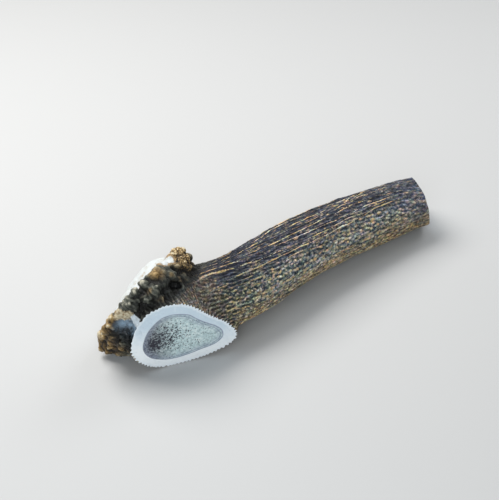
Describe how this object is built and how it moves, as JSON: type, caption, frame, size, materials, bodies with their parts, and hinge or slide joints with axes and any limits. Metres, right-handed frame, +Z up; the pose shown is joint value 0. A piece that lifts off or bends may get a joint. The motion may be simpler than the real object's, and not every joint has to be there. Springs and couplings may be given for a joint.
{
  "type": "deer antler",
  "caption": "Lower length of a deer antler with its pearled burr, a sawn brow tine stub and a sawn beam end; it lies free on a flat surface.",
  "frame": {"origin": "middle of the underside of the bounding box, on the surface that the antler lies on", "axes": "+Z up, +X along the beam from the burr to the sawn beam end, -Y the side that the sawn brow tine faces"},
  "size_m": [0.2032, 0.0524, 0.0511],
  "materials": {
    "antler_brown": "dark ridged antler with a soft sheen and pale worn ridges",
    "sawn_bone": "sawn bone, a pale dense ring round a porous grey core"
  },
  "bodies": {
    "root": {"beam": "antler_brown", "brow_tine": "sawn_bone"}
  },
  "joints": []
}
